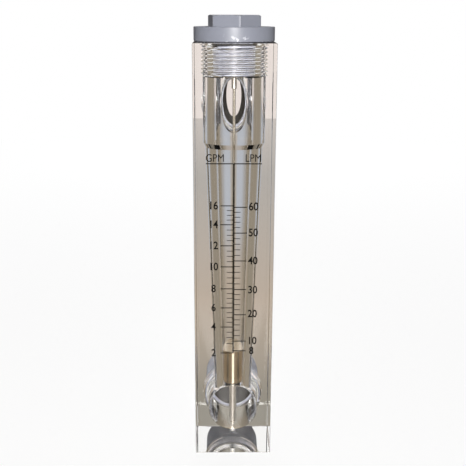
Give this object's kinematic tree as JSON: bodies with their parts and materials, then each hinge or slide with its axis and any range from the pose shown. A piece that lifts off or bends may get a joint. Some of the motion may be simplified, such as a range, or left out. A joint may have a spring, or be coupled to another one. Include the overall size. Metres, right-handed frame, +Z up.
{
  "type": "rotameter",
  "caption": "Clear acrylic block flow meter with a tapered bore, a steel float on a guide rod, a hexagon-headed plug and two threaded pipe adapters at the back.",
  "frame": {"origin": "on the metering axis, in the bottom face of the acrylic block", "axes": "+Z up the metering tube, +Y from the scale face to the panel, +X to the right of the scale"},
  "size_m": [0.044, 0.0781, 0.2509],
  "materials": {
    "acrylic": "clear cast acrylic, polished",
    "grey_pvc": "moulded, satin",
    "black_rubber": "matte",
    "silicone": "matte, milky",
    "stainless": "ground and polished",
    "float_steel": "turned and polished",
    "ink": "screen print"
  },
  "bodies": {
    "meter": {"meter_body": "acrylic", "top_plug": "grey_pvc", "plug_o_ring": "black_rubber", "inlet_adapter": "grey_pvc", "outlet_adapter": "grey_pvc", "inlet_o_ring": "silicone", "outlet_o_ring": "silicone", "guide_rod": "stainless", "lower_stop_sleeve": "stainless", "upper_stop_sleeve": "stainless", "scale_print": "ink"},
    "float": {"float": "float_steel"}
  },
  "joints": [
    {"name": "float_rise", "type": "slide", "parent": "meter", "child": "float", "axis": [0, 0, 1], "range_m": [0, 0.1515]}
  ]
}
